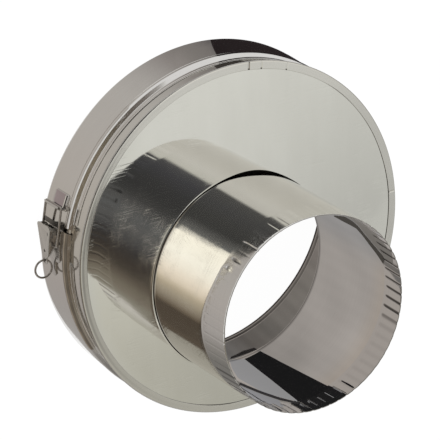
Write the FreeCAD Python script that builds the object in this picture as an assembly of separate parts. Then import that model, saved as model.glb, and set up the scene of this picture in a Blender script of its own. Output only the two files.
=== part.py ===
import FreeCAD, Part
import math
import os

# Flue pipe reducer: an insulated (twin-wall) stainless steel fitting that steps a 200 mm flue down to a
# 150 mm single-wall pipe. The 150 mm spigot is eccentric, so that its lowest side is flush with the liner.
# Frame: origin at the centre of the liner's rear mouth, +Z along the flue towards the spigot, and the spigot's
# axis is offset towards -Y. The part stands on the rear edge of the locking band. All sizes in millimetres.

# ---- driving dimensions -------------------------------------------------------------------------------
sheet = 0.6                    # stainless sheet of the casing, liner, band and spigot
plate_t = 0.8                  # thicker sheet of the three flat plates

# inner liner (the 200 mm flue slides into it from below)
liner_r = 100.0                # inside radius
liner_len = 37.5
liner_bead_z = 4.5             # stiffening bead, pressed outwards
liner_bead_w = 3.0
liner_bead_h = 1.3

# outer casing
casing_r = 128.2               # outside radius
casing_z0 = 7.5
casing_z1 = 49.5               # underside of the front flange
rib_r = 129.4                  # locking rib under the band
rib_z0, rib_z1 = 25.0, 28.5
hem_r = 132.0                  # outside radius of the folded hem
hem_in_r = 125.8               # inner edge of the fold on the face
hem_top = casing_z1 + 2.0

# face plate with its eccentric hole
plate_z = casing_z1 + sheet
plate_r = hem_r - sheet - 0.1
hole_r = 74.9
hole_y = -24.9

# spigot pipe (150 mm single wall, male, crimped)
spigot_r = 74.0
spigot_y = -25.5
spigot_z0 = 37.8
spigot_z1 = 147.1
swage_z0, swage_z1 = plate_z + plate_t, plate_z + plate_t + 0.8   # a slight swage where it leaves the plate
swage_r = 73.4
crimp_z0 = 122.0
crimp_full_z = 126.0
crimps = 64
crimp_amp = 0.25
crimp_mean_r = 73.6

# transition plate that closes the liner around the spigot, and the rear end ring
trans_hole_r = swage_r + 0.05
ring_z = casing_z0
wool_gap_r = 80.0              # the wool stays clear of the pipe just under the face plate
wool_gap_z = 42.0

# locking band (split, with a front shoulder)
band_z0 = -6.5
band_skirt_z1 = 23.8
band_r = 130.6
band_crown_r = 131.2
band_crown_z = 26.2
band_lip_z0, band_lip_z1 = 32.0, 36.4
band_lip_r = 128.9
split_deg = 167.3              # direction of the split, from +X
split_w = 3.6
lip_cut_deg = (164.3, 178.0)   # the front lip is cut away around the split
strap_deg = (163.2, 172.4)     # a strap inside the band bridges the split
strap_t = 0.7
strap_z0, strap_z1 = -5.5, 21.5

# latch, laid out in its own frame: v outwards from the flue's axis, u round the band, z along the flue
latch_deg = 170.0
latch_z = 12.0
lever_t = 1.0
lever_u0, lever_v0 = -7.0, 141.0
lever_u1, lever_v1 = 23.0, 136.2
lever_half0, lever_half1 = 9.3, 4.0
lever_taper_u = 16.0
tab_half = 3.0
tab_hole_r = 1.9
tab_hole_u = 19.8
fulcrum = (-3.0, 135.6)        # (u, v)
fulcrum_r = 1.5
running = 0.05
bail_pivot = (7.1, 134.8)
bail_wire_r = 0.9
bail_leg = 11.0
hook_bar = (-21.7, 134.3)
keeper_t = 0.8
keeper_half = 9.6
keeper_u0, keeper_u1 = -30.3, -19.0
base_t = 0.9
ring_mean_r = 6.6
ring_wire_r = 0.75
ring_centre = (26.31, 136.92)

V = FreeCAD.Vector
X, Y, Z = V(1, 0, 0), V(0, 1, 0), V(0, 0, 1)
O = V(0, 0, 0)


def cylinder(r, z0, z1, y=0.0, x=0.0):
    return Part.makeCylinder(r, z1 - z0, V(x, y, z0), Z)


def turned(points):
    """A solid of revolution about Z from a closed outline of (radius, z) points. A third value turns that point
    into the middle of an arc from the point before it to the point after it."""
    edges = []
    n = len(points)
    i = 0
    while i < n:
        p, q = points[i], points[(i + 1) % n]
        if len(q) == 3:
            r = points[(i + 2) % n]
            edges.append(Part.Arc(V(p[0], 0, p[1]), V(q[0], 0, q[1]), V(r[0], 0, r[1])).toShape())
            i += 2
        else:
            edges.append(Part.LineSegment(V(p[0], 0, p[1]), V(q[0], 0, q[1])).toShape())
            i += 1
    return Part.Face(Part.Wire(edges)).revolve(O, Z, 360)


def one_solid(shape, name):
    solids = shape.Solids
    if len(solids) != 1:
        raise RuntimeError("%s has %d solids" % (name, len(solids)))
    s = solids[0]
    if not s.isValid():
        raise RuntimeError("%s is not valid" % name)
    return s


def placed(shape):
    """From the latch's own frame (v, u, z) to the part's frame."""
    s = shape.copy()
    s.rotate(O, Z, latch_deg)
    s.translate(V(0, 0, latch_z))
    return s


def side_prism(points, w0, w1):
    """A prism from an outline of (u, v) points, running along z from w0 to w1, in the latch's frame."""
    pts = [V(v, u, w0) for u, v in points]
    pts.append(pts[0])
    return Part.Face(Part.makePolygon(pts)).extrude(V(0, 0, w1 - w0))


def plan_prism(points, v0, v1):
    """A prism from an outline of (u, w) points, running outwards from v0 to v1, in the latch's frame."""
    pts = [V(v0, u, w) for u, w in points]
    pts.append(pts[0])
    return Part.Face(Part.makePolygon(pts)).extrude(V(v1 - v0, 0, 0))


def cross_bar(u, v, r, w0, w1):
    return Part.makeCylinder(r, w1 - w0, V(v, u, w0), Z)


parts = {}

# ---- casing, plates, liner, insulation ----------------------------------------------------------------
c_in = casing_r - sheet
casing = turned([
    (c_in, casing_z0), (casing_r, casing_z0), (casing_r, rib_z0 - 0.8), (rib_r, rib_z0 + 0.4),
    (rib_r, rib_z1 - 0.4), (casing_r, rib_z1 + 0.8), (casing_r, casing_z1), (hem_r - 1.0, casing_z1),
    (hem_r, casing_z1 + 1.0, "arc"), (hem_r - 1.0, hem_top), (hem_in_r, hem_top), (hem_in_r, hem_top - sheet),
    (plate_r + 0.1, hem_top - sheet), (plate_r + 0.1, casing_z1 + sheet), (c_in, casing_z1 + sheet),
    (c_in, rib_z1 + 0.6), (rib_r - sheet, rib_z1 - 0.6), (rib_r - sheet, rib_z0 + 0.6), (c_in, rib_z0 - 0.6)])
parts["outer_casing"] = one_solid(casing, "outer_casing")

plate = cylinder(plate_r, plate_z, plate_z + plate_t).cut(cylinder(hole_r, plate_z - 1, plate_z + 2, hole_y))
parts["face_plate"] = one_solid(plate, "face_plate")

b0, b1 = liner_bead_z - liner_bead_w / 2, liner_bead_z + liner_bead_w / 2
liner = turned([
    (liner_r, 0), (liner_r + sheet, 0), (liner_r + sheet, b0 - 0.3),
    (liner_r + sheet + liner_bead_h, liner_bead_z, "arc"), (liner_r + sheet, b1 + 0.3),
    (liner_r + sheet, liner_len), (liner_r, liner_len), (liner_r, b1),
    (liner_r + liner_bead_h, liner_bead_z, "arc"), (liner_r, b0)])
parts["inner_liner"] = one_solid(liner, "inner_liner")

trans = cylinder(liner_r + sheet, liner_len, liner_len + plate_t)
trans = trans.cut(cylinder(trans_hole_r, liner_len - 1, liner_len + 2, spigot_y))
parts["transition_plate"] = one_solid(trans, "transition_plate")

end_ring = cylinder(c_in, ring_z, ring_z + plate_t).cut(cylinder(liner_r + sheet, ring_z - 1, ring_z + 2))
parts["rear_end_ring"] = one_solid(end_ring, "rear_end_ring")

wool = cylinder(c_in - 0.1, ring_z + plate_t, plate_z)
wool = wool.cut(cylinder(liner_r + sheet + 0.1, ring_z, liner_len + plate_t + 0.1))
wool = wool.cut(cylinder(swage_r + 0.6, liner_len, plate_z + 1, spigot_y))
wool = wool.cut(cylinder(wool_gap_r, wool_gap_z, plate_z + 1, spigot_y))
parts["insulation"] = one_solid(wool, "insulation")

# ---- spigot pipe --------------------------------------------------------------------------------------
def wave(z, mean, amp):
    """A closed fluted curve about the spigot's axis."""
    per = 8
    n = crimps * per
    pts = []
    for i in range(n):
        a = 2 * math.pi * i / n
        r = mean + amp * math.cos(crimps * a)
        pts.append(V(r * math.cos(a), spigot_y + r * math.sin(a), z))
    curve = Part.BSplineCurve()
    curve.interpolate(Points=pts, PeriodicFlag=True)
    return Part.Wire([curve.toShape()])


def fluted(inset):
    start = Part.makeLoft([wave(crimp_z0, spigot_r - 0.05 - inset, 0.0),
                           wave(crimp_full_z, crimp_mean_r - inset, crimp_amp),
                           wave(spigot_z1, crimp_mean_r - inset, crimp_amp)], True, True)
    return start


pipe = cylinder(spigot_r, swage_z1, crimp_z0, spigot_y).cut(
    cylinder(spigot_r - sheet, swage_z1 - 1, crimp_z0 + 1, spigot_y))
neck = turned([
    (swage_r - sheet, spigot_z0), (swage_r, spigot_z0), (swage_r, swage_z0), (spigot_r, swage_z1),
    (spigot_r - sheet, swage_z1), (swage_r - sheet, swage_z0)])
neck.translate(V(0, spigot_y, 0))
crimped = fluted(0.0).cut(fluted(sheet))
parts["spigot_pipe"] = one_solid(pipe.fuse(neck).fuse(crimped), "spigot_pipe")

# ---- locking band -------------------------------------------------------------------------------------
band = turned([
    (band_r - sheet, band_z0), (band_r, band_z0), (band_r, band_skirt_z1),
    (band_r - 0.35, band_skirt_z1 + 0.5), (band_crown_r, band_crown_z - 0.9), (band_crown_r, band_crown_z + 0.9),
    (band_lip_r, band_lip_z0), (band_lip_r, band_lip_z1), (band_lip_r - sheet, band_lip_z1),
    (band_lip_r - sheet, band_lip_z0 - 0.15), (band_crown_r - sheet, band_crown_z + 0.7),
    (band_crown_r - sheet, band_crown_z - 0.8), (band_r - 0.35 - sheet, band_skirt_z1 + 0.6),
    (band_r - sheet, band_skirt_z1 - 0.1)])
gap = Part.makeBox(20, split_w, 60, V(120, -split_w / 2, band_z0 - 5))
gap.rotate(O, Z, split_deg)
lip_cut = Part.makeCylinder(140, 10, V(0, 0, band_lip_z0 - 0.3), Z, lip_cut_deg[1] - lip_cut_deg[0])
lip_cut.rotate(O, Z, lip_cut_deg[0])
parts["locking_band"] = one_solid(band.cut(gap).cut(lip_cut), "locking_band")

# ---- strap under the split -----------------------------------------------------------------------------
strap = Part.makeCylinder(band_r - sheet, strap_z1 - strap_z0, V(0, 0, strap_z0), Z, strap_deg[1] - strap_deg[0])
strap.rotate(O, Z, strap_deg[0])
strap = strap.cut(cylinder(band_r - sheet - strap_t, strap_z0 - 1, strap_z1 + 1))
parts["band_strap"] = one_solid(strap, "band_strap")

# ---- latch base with its two ears, curved to the band --------------------------------------------------
shell = cylinder(band_r + base_t, -9.5, 9.5).cut(cylinder(band_r, -10, 10))
base_outline = plan_prism([(-4.0, -9.5), (18.0, -9.5), (20.0, -7.5), (20.0, -2.75), (30.0, -2.75), (31.5, -1.25),
                           (31.5, 1.25), (30.0, 2.75), (20.0, 2.75), (20.0, 7.5), (18.0, 9.5), (-4.0, 9.5)], 100, 145)
base = shell.common(base_outline)
fu, fv = fulcrum
for w0, w1 in ((-6.2, -5.2), (5.2, 6.2)):
    ear = side_prism([(fu - 1.0, band_r - 0.2 + 0.35), (fu + 3.4, band_r + 0.15), (fu + 2.4, fv), (fu - 2.4, fv)], w0, w1)
    ear = ear.fuse(cross_bar(fu, fv, 2.4, w0, w1))
    ear = ear.cut(cylinder(band_r, -10, 10))
    base = base.fuse(ear)
base = base.cut(cross_bar(fu, fv, fulcrum_r, -12, 12))
parts["latch_base"] = one_solid(placed(base), "latch_base")

# ---- lever pin -----------------------------------------------------------------------------------------
pin = cross_bar(fu, fv, fulcrum_r, -9.1, 9.1)
pin = pin.fuse(cross_bar(fu, fv, 1.95, -9.65, -9.05)).fuse(cross_bar(fu, fv, 1.95, 9.05, 9.65))
parts["lever_pin"] = one_solid(placed(pin), "lever_pin")

# ---- lever: a tapered channel with a pull tab ----------------------------------------------------------
slope = (lever_v1 - lever_v0) / (lever_u1 - lever_u0)


def lever_v(u):
    return lever_v0 + slope * (u - lever_u0)


tc = lever_t / math.cos(math.atan(slope))
slab = side_prism([(lever_u0, lever_v(lever_u0)), (lever_u1 + 1, lever_v(lever_u1 + 1)),
                   (lever_u1 + 1, lever_v(lever_u1 + 1) - tc), (lever_u0, lever_v(lever_u0) - tc)], -12, 12)
outline = plan_prism([(lever_u0, -lever_half0), (lever_taper_u, -lever_half1), (lever_taper_u + 2.2, -tab_half),
                      (tab_hole_u, -tab_half), (tab_hole_u, tab_half), (lever_taper_u + 2.2, tab_half),
                      (lever_taper_u, lever_half1), (lever_u0, lever_half0)], 125, 145)
outline = outline.fuse(Part.makeCylinder(tab_half, 20, V(125, tab_hole_u, 0), X))
top = slab.common(outline)
arc = []
for k in range(9):
    a = math.radians(270 - 10 * k)          # from straight below the fulcrum round to just behind it
    arc.append((fu + 3.4 * math.cos(a), fv + 3.4 * math.sin(a)))
flange_side = side_prism(arc + [(lever_u0, lever_v(lever_u0)), (lever_taper_u, lever_v(lever_taper_u)),
                                (lever_taper_u, 134.9), (bail_pivot[0] + 2.5, 133.0), (bail_pivot[0] - 2.5, 132.6)],
                         -12, 12)
inset = lever_t * math.hypot(1, (lever_half0 - lever_half1) / (lever_taper_u - lever_u0))
outer_plan = plan_prism([(lever_u0, -lever_half0), (lever_taper_u, -lever_half1), (lever_taper_u, lever_half1),
                         (lever_u0, lever_half0)], 125, 145)
inner_plan = plan_prism([(lever_u0 - 1, -lever_half0 + inset - 0.23), (lever_taper_u + 1, -lever_half1 + inset + 0.23),
                         (lever_taper_u + 1, lever_half1 - inset - 0.23), (lever_u0 - 1, lever_half0 - inset + 0.23)],
                        120, 150)
flanges = flange_side.common(outer_plan.cut(inner_plan))
lever = top.fuse(flanges)
lever = lever.cut(cross_bar(fu, fv, fulcrum_r + running, -12, 12))
lever = lever.cut(cross_bar(bail_pivot[0], bail_pivot[1], bail_wire_r + running, -12, 12))
lever = lever.cut(Part.makeCylinder(tab_hole_r, 20, V(125, tab_hole_u, 0), X))
lever = lever.cut(Part.makeCylinder(1.1, 15, V(135.5, 12.5, 0.5), X))
slot = Part.makeBox(10, 1.7, 0.9, V(136, -2.15, 5.05))
slot = slot.fuse(Part.makeCylinder(0.45, 10, V(136, -2.15, 5.5), X)).fuse(Part.makeCylinder(0.45, 10, V(136, -0.45, 5.5), X))
lever = lever.cut(slot)
parts["latch_lever"] = one_solid(placed(lever), "latch_lever")


# ---- bail: one bent wire from the lever's holes to the bar that the keeper holds -----------------------
def wire_rod(points, r_bend, r_wire):
    """A round wire along straight runs joined by tangent arcs. Points are (u, v, w) in the latch's frame."""
    pts = [V(v, u, w) for u, v, w in points]
    edges = []
    last = pts[0]
    for i in range(1, len(pts) - 1):
        a = pts[i - 1].sub(pts[i])
        b = pts[i + 1].sub(pts[i])
        a.normalize()
        b.normalize()
        turn = math.pi - math.acos(max(-1.0, min(1.0, a.dot(b))))
        cut = r_bend * math.tan(turn / 2)
        p = pts[i].add(V(a).multiply(cut))
        q = pts[i].add(V(b).multiply(cut))
        bis = a.add(b)
        bis.normalize()
        centre = pts[i].add(V(bis).multiply(r_bend / math.cos(turn / 2)))
        mid = centre.sub(V(bis).multiply(r_bend))
        edges.append(Part.LineSegment(last, p).toShape())
        edges.append(Part.Arc(p, mid, q).toShape())
        last = q
    edges.append(Part.LineSegment(last, pts[-1]).toShape())
    path = Part.Wire(edges)
    d = pts[1].sub(pts[0])
    ring = Part.Wire([Part.makeCircle(r_wire, pts[0], d)])
    return path.makePipeShell([ring], True, False)


bu, bv = bail_pivot
hu, hv = hook_bar
bail = wire_rod([(bu, bv, -4.2), (bu, bv, -bail_leg), (hu, hv, -bail_leg), (hu, hv, bail_leg), (bu, bv, bail_leg),
                 (bu, bv, 4.2)], 1.5, bail_wire_r)
if not bail.Solids:
    bail = Part.makeSolid(Part.makeShell(bail.Faces))
parts["latch_bail"] = one_solid(placed(bail), "latch_bail")

# ---- keeper: a plate curved to the band, curled over the bar at its lower edge --------------------------
kshell = cylinder(band_r + keeper_t, -keeper_half, keeper_half).cut(cylinder(band_r, -keeper_half - 1, keeper_half + 1))
kshell = kshell.common(plan_prism([(keeper_u0, -keeper_half + 2), (keeper_u0 + 2, -keeper_half), (keeper_u1, -keeper_half),
                                   (keeper_u1, keeper_half), (keeper_u0 + 2, keeper_half),
                                   (keeper_u0, keeper_half - 2)], 100, 145))
cu, cv = hu - 0.2, hv
curl_in, curl_out = 1.4, 1.4 + keeper_t
tube = cross_bar(cu, cv, curl_out, -keeper_half, keeper_half).cut(cross_bar(cu, cv, curl_in, -12, 12))
# the curl runs from the plate, up its +u side and over the top
keep = side_prism([(cu, cv), (cu - 0.9, cv + 4), (cu + 6, cv + 4), (cu + 6, cv - 1.2), (cu + 1.0, cv - 1.2)], -12, 12)
curl = tube.common(keep)
foot_v = math.sqrt(band_r ** 2 - keeper_u1 ** 2)
web = side_prism([(cu + curl_in - 0.75, cv - 1.1), (cu + curl_out - 0.25, cv - 1.1), (keeper_u1 + 0.35, foot_v + keeper_t),
                  (keeper_u1 + 0.1, foot_v + 0.1), (keeper_u1 - 1.2, foot_v + 0.4)], -keeper_half, keeper_half)
web = web.cut(cylinder(band_r, -20, 20)).cut(cross_bar(cu, cv, curl_in, -12, 12))
keeper = kshell.fuse(curl).fuse(web)
parts["latch_keeper"] = one_solid(placed(keeper), "latch_keeper")

# ---- pull ring -----------------------------------------------------------------------------------------
ring = Part.makeTorus(ring_mean_r, ring_wire_r, V(ring_centre[1], ring_centre[0], 0), Z)
parts["pull_ring"] = one_solid(placed(ring), "pull_ring")

# ---- one STEP file per piece ---------------------------------------------------------------------------
os.makedirs("parts", exist_ok=True)
for name, shape in parts.items():
    shape.exportStep("parts/%s.step" % name)
    b = shape.BoundBox
    print("%-18s %8.1f mm3  x %7.1f %7.1f  y %7.1f %7.1f  z %7.1f %7.1f" % (
        name, shape.Volume, b.XMin, b.XMax, b.YMin, b.YMax, b.ZMin, b.ZMax))
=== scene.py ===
import bpy
import bmesh
import math
import numpy as np
from mathutils import Matrix, Vector


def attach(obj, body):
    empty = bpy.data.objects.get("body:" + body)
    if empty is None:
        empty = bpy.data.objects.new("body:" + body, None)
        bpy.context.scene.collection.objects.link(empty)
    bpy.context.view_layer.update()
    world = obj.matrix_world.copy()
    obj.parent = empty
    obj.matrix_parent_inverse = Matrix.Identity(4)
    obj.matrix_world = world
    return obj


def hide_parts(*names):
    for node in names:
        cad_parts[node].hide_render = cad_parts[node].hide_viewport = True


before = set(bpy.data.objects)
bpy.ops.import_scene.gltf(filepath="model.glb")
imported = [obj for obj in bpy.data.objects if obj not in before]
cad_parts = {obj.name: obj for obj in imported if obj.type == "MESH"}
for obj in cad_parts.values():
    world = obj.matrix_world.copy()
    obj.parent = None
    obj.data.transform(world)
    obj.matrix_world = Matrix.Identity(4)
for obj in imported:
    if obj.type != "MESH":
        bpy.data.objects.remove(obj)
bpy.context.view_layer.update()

scene = bpy.context.scene
scene.view_settings.view_transform = "Standard"
scene.view_settings.look = "None"
MM = 0.001
FLOOR_Z = -6.5

# =========================================================================================================
# camera: long lens, looking down at the face plate from the front, with the slight roll of the photograph
# =========================================================================================================
cam_data = bpy.data.cameras.new("camera")
cam = bpy.data.objects.new("camera", cam_data)
scene.collection.objects.link(cam)
scene.camera = cam
right = Vector((0.8545, -0.0373, 0.5182)).normalized()
back = Vector((-0.4689, 0.3742, 0.8001)).normalized()
up = back.cross(right).normalized()
right = up.cross(back).normalized()
loc = Vector((-1.3468, 1.0796, 2.3206))
cam.matrix_world = Matrix(((right.x, up.x, back.x, loc.x), (right.y, up.y, back.y, loc.y),
                           (right.z, up.z, back.z, loc.z), (0, 0, 0, 1)))
cam_data.lens = 327.27
cam_data.sensor_width = 36.0
cam_data.clip_start, cam_data.clip_end = 0.05, 60.0


# =========================================================================================================
# small helpers
# =========================================================================================================
def smooth(t):
    t = max(0.0, min(1.0, t))
    return t * t * (3 - 2 * t)


def link(ob):
    scene.collection.objects.link(ob)
    return ob


def finish_mesh(name, verts, faces, uvs=None, wear=None, sharp=32.0, merge=1e-7):
    """A mesh object from points in millimetres, smooth shaded, with sharp corners kept by angle."""
    me = bpy.data.meshes.new(name)
    me.from_pydata([(v[0] * MM, v[1] * MM, v[2] * MM) for v in verts], [], faces)
    me.update()
    if uvs is not None:
        layer = me.uv_layers.new(name="UVMap")
        flat = np.empty(len(me.loops) * 2, dtype=np.float32)
        i = 0
        for f_uv in uvs:
            for (a, b) in f_uv:
                flat[i], flat[i + 1] = a, b
                i += 2
        layer.data.foreach_set("uv", flat)
    if wear is not None:
        at = me.attributes.new("wear", "FLOAT", "POINT")
        at.data.foreach_set("value", np.asarray(wear, dtype=np.float32))
    me.polygons.foreach_set("use_smooth", [True] * len(me.polygons))
    me.set_sharp_from_angle(angle=math.radians(sharp))
    me.validate()
    ob = bpy.data.objects.new(name, me)
    return link(ob)


def fillet(points, radii, seg=3, support=0.25):
    """Round the corners of a closed (r, z) outline. radii has one value a corner, 0 keeps it sharp. A support
    point after each arc keeps the shading of the flats flat."""
    out = []
    n = len(points)
    for i in range(n):
        p = np.array(points[i], float)
        a = np.array(points[i - 1], float) - p
        b = np.array(points[(i + 1) % n], float) - p
        la, lb = np.linalg.norm(a), np.linalg.norm(b)
        a, b = a / la, b / lb
        rad = radii[i] if isinstance(radii, (list, tuple)) else radii
        cosang = max(-1.0, min(1.0, float(a @ b)))
        turn = math.pi - math.acos(cosang)
        if rad <= 0 or turn < math.radians(2.0):
            out.append(tuple(p))
            continue
        cut = min(rad * math.tan(turn / 2), 0.42 * la, 0.42 * lb)
        rr = cut / math.tan(turn / 2)
        s, e = p + a * cut, p + b * cut
        bis = (a + b) / np.linalg.norm(a + b)
        c = p + bis * (rr / math.cos(turn / 2))
        sup = min(support, 0.3 * (la - cut), 0.3 * (lb - cut))
        if sup > 0.01 and la * 0.5 > cut + sup:
            out.append(tuple(s + a * sup))
        a0 = math.atan2(*(s - c)[::-1])
        a1 = math.atan2(*(e - c)[::-1])
        d = (a1 - a0 + math.pi) % (2 * math.pi) - math.pi
        k = max(2, int(round(seg * abs(d) / (math.pi / 2))) + 1)
        for j in range(k + 1):
            t = a0 + d * j / k
            out.append((c[0] + rr * math.cos(t), c[1] + rr * math.sin(t)))
        if sup > 0.01 and lb * 0.5 > cut + sup:
            out.append(tuple(e + b * sup))
    return out


def revolve(name, outline, angles, cx=0.0, cy=0.0, shift=None, closed=True, caps=False, wear_z=None, sharp=32.0):
    """A surface of revolution about a vertical axis from a closed (r, z) outline at the given angles in degrees.
    shift(deg, r, z) gives a changed (r, z). If closed is false the sweep has two ends, which caps fills."""
    m = len(outline)
    verts, wear = [], []
    rad = [math.radians(a) for a in angles]
    for a, d in zip(rad, angles):
        ca, sa = math.cos(a), math.sin(a)
        for (r, z) in outline:
            if shift:
                r, z = shift(d, r, z)
            verts.append((cx + r * ca, cy + r * sa, z))
            wear.append(wear_z(r, z) if wear_z else 0.0)
    lens = [0.0]
    for i in range(m):
        p, q = outline[i], outline[(i + 1) % m]
        lens.append(lens[-1] + math.hypot(q[0] - p[0], q[1] - p[1]))
    faces, uvs = [], []
    n = len(angles)
    rmax = max(p[0] for p in outline)
    for i in range(n if closed else n - 1):
        j = (i + 1) % n
        u0 = rad[i] * rmax * MM
        u1 = (rad[j] if j else rad[0] + 2 * math.pi) * rmax * MM
        for k in range(m):
            l = (k + 1) % m
            faces.append((i * m + k, j * m + k, j * m + l, i * m + l))
            v0, v1 = lens[k] * MM, lens[k + 1] * MM
            uvs.append(((u0, v0), (u1, v0), (u1, v1), (u0, v1)))
    if not closed and caps:
        faces.append(tuple(range(m)))
        uvs.append(tuple((p[0] * MM, p[1] * MM) for p in outline))
        faces.append(tuple((n - 1) * m + k for k in range(m - 1, -1, -1)))
        uvs.append(tuple((outline[k][0] * MM, outline[k][1] * MM) for k in range(m - 1, -1, -1)))
    ob = finish_mesh(name, verts, faces, uvs, wear, sharp)
    fix_normals(ob)
    return ob


def fix_normals(ob):
    bm = bmesh.new()
    bm.from_mesh(ob.data)
    bmesh.ops.recalc_face_normals(bm, faces=bm.faces)
    bm.to_mesh(ob.data)
    bm.free()


def ring_angles(n, extra=()):
    """n even angles round the circle, and finer ones inside each (centre, half width, step) of extra."""
    a = set(round(360.0 * i / n, 5) for i in range(n))
    for c, h, st in extra:
        k = int(round(2 * h / st))
        for i in range(k + 1):
            a.add(round((c - h + st * i) % 360.0, 5))
    s = sorted(a)
    out = [s[0]]
    for x in s[1:]:
        if x - out[-1] > 0.02:
            out.append(x)
    if out[0] + 360 - out[-1] < 0.02:
        out.pop()
    return out


# =========================================================================================================
# materials
# =========================================================================================================
def new_mat(name):
    mat = bpy.data.materials.new(name)
    mat.use_nodes = True
    nt = mat.node_tree
    nt.nodes.clear()
    out = nt.nodes.new("ShaderNodeOutputMaterial")
    return mat, nt, out


def node(nt, kind, **kw):
    n = nt.nodes.new(kind)
    for k, v in kw.items():
        if k == "inputs":
            for name, val in v.items():
                n.inputs[name].default_value = val
        else:
            setattr(n, k, v)
    return n


def ramp(nt, src, stops, interpolation="LINEAR"):
    r = nt.nodes.new("ShaderNodeValToRGB")
    r.color_ramp.interpolation = interpolation
    el = r.color_ramp.elements
    while len(el) > 1:
        el.remove(el[-1])
    el[0].position = stops[0][0]
    el[0].color = (*stops[0][1], 1) if len(stops[0][1]) == 3 else stops[0][1]
    for p, c in stops[1:]:
        e = el.new(p)
        e.color = (*c, 1) if len(c) == 3 else c
    nt.links.new(src, r.inputs["Fac"])
    return r.outputs["Color"]


def steel(name, light=(0.64, 0.63, 0.61), dark=(0.58, 0.57, 0.55), rough=(0.05, 0.13), along="u", line=900.0,
          bump=0.02, wave=0.0, wave_scale=18.0, scratch=0.35, edge=0.5, spots=0.25, coord="UV"):
    """Bright rolled stainless sheet: fine rolling lines, a slow drift in tone, thin scratches, faint smears, and
    brighter, rougher metal where the edges are rubbed."""
    mat, nt, out = new_mat(name)
    L = nt.links.new
    tc = node(nt, "ShaderNodeTexCoord")
    uv = tc.outputs[coord]
    bsdf = node(nt, "ShaderNodeBsdfPrincipled")
    bsdf.inputs["Metallic"].default_value = 1.0
    # rolling lines
    mp = node(nt, "ShaderNodeMapping")
    mp.inputs["Scale"].default_value = (6.0, line, 6.0) if along == "u" else (line, 6.0, 6.0)
    L(uv, mp.inputs["Vector"])
    lines = node(nt, "ShaderNodeTexNoise", inputs={"Scale": 1.0, "Detail": 3.0, "Roughness": 0.6})
    L(mp.outputs["Vector"], lines.inputs["Vector"])
    # slow drift
    mp2 = node(nt, "ShaderNodeMapping")
    mp2.inputs["Scale"].default_value = (14.0, 30.0, 20.0) if along == "u" else (30.0, 14.0, 20.0)
    L(uv, mp2.inputs["Vector"])
    drift = node(nt, "ShaderNodeTexNoise", inputs={"Scale": 1.0, "Detail": 4.0, "Roughness": 0.55})
    L(mp2.outputs["Vector"], drift.inputs["Vector"])
    # scratches: thin cells stretched out along two slanting directions
    sc = []
    for k, (rot, s) in enumerate(((0.6, (26.0, 420.0, 1.0)), (-0.9, (18.0, 300.0, 1.0)), (0.1, (12.0, 520.0, 1.0)))):
        m = node(nt, "ShaderNodeMapping")
        m.inputs["Rotation"].default_value = (0, 0, rot)
        m.inputs["Scale"].default_value = s
        m.inputs["Location"].default_value = (0.3 * k, 0.71 * k, 0)
        L(uv, m.inputs["Vector"])
        v = node(nt, "ShaderNodeTexVoronoi", feature="DISTANCE_TO_EDGE", inputs={"Scale": 1.0})
        L(m.outputs["Vector"], v.inputs["Vector"])
        thin = ramp(nt, v.outputs["Distance"], [(0.0, (1, 1, 1)), (0.03, (0.25,) * 3), (0.07, (0,) * 3)])
        mask = node(nt, "ShaderNodeTexNoise", inputs={"Scale": 34.0 + 11 * k, "Detail": 2.0})
        L(uv, mask.inputs["Vector"])
        cut = ramp(nt, mask.outputs["Fac"], [(0.56, (0,) * 3), (0.64, (1,) * 3)])
        mul = node(nt, "ShaderNodeMath", operation="MULTIPLY")
        L(thin, mul.inputs[0])
        L(cut, mul.inputs[1])
        sc.append(mul.outputs[0])
    add = node(nt, "ShaderNodeMath", operation="ADD")
    L(sc[0], add.inputs[0])
    L(sc[1], add.inputs[1])
    add2 = node(nt, "ShaderNodeMath", operation="ADD", use_clamp=True)
    L(add.outputs[0], add2.inputs[0])
    L(sc[2], add2.inputs[1])
    scratch_out = add2.outputs[0]
    # smears and water marks
    sp = node(nt, "ShaderNodeTexNoise", inputs={"Scale": 60.0, "Detail": 5.0, "Roughness": 0.65, "Distortion": 0.6})
    L(uv, sp.inputs["Vector"])
    smear = ramp(nt, sp.outputs["Fac"], [(0.52, (0,) * 3), (0.72, (1,) * 3)])
    # wear attribute
    at = node(nt, "ShaderNodeAttribute", attribute_name="wear")
    # colour
    mixc = node(nt, "ShaderNodeMix", data_type="RGBA")
    mixc.inputs["A"].default_value = (*dark, 1)
    mixc.inputs["B"].default_value = (*light, 1)
    L(drift.outputs["Fac"], mixc.inputs["Factor"])
    fine = node(nt, "ShaderNodeMix", data_type="RGBA", blend_type="MULTIPLY")
    lc = ramp(nt, lines.outputs["Fac"], [(0.3, (0.97,) * 3), (0.7, (1.0,) * 3)])
    fine.inputs["Factor"].default_value = 1.0
    L(mixc.outputs["Result"], fine.inputs["A"])
    L(lc, fine.inputs["B"])
    worn = node(nt, "ShaderNodeMix", data_type="RGBA")
    worn.inputs["B"].default_value = (0.78, 0.77, 0.75, 1)
    wf = node(nt, "ShaderNodeMath", operation="MULTIPLY")
    wf.inputs[1].default_value = edge
    L(at.outputs["Fac"], wf.inputs[0])
    L(wf.outputs[0], worn.inputs["Factor"])
    L(fine.outputs["Result"], worn.inputs["A"])
    # painted shade: the vertex attribute darkens folds, grooves and edges towards near black
    so = node(nt, "ShaderNodeAttribute", attribute_name="painted_shade")
    painted_shade_mix = node(nt, "ShaderNodeMix", data_type="RGBA")
    painted_shade_mix.inputs["B"].default_value = (0.045, 0.038, 0.032, 1)
    L(so.outputs["Fac"], painted_shade_mix.inputs["Factor"])
    L(worn.outputs["Result"], painted_shade_mix.inputs["A"])
    L(painted_shade_mix.outputs["Result"], bsdf.inputs["Base Color"])
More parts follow.
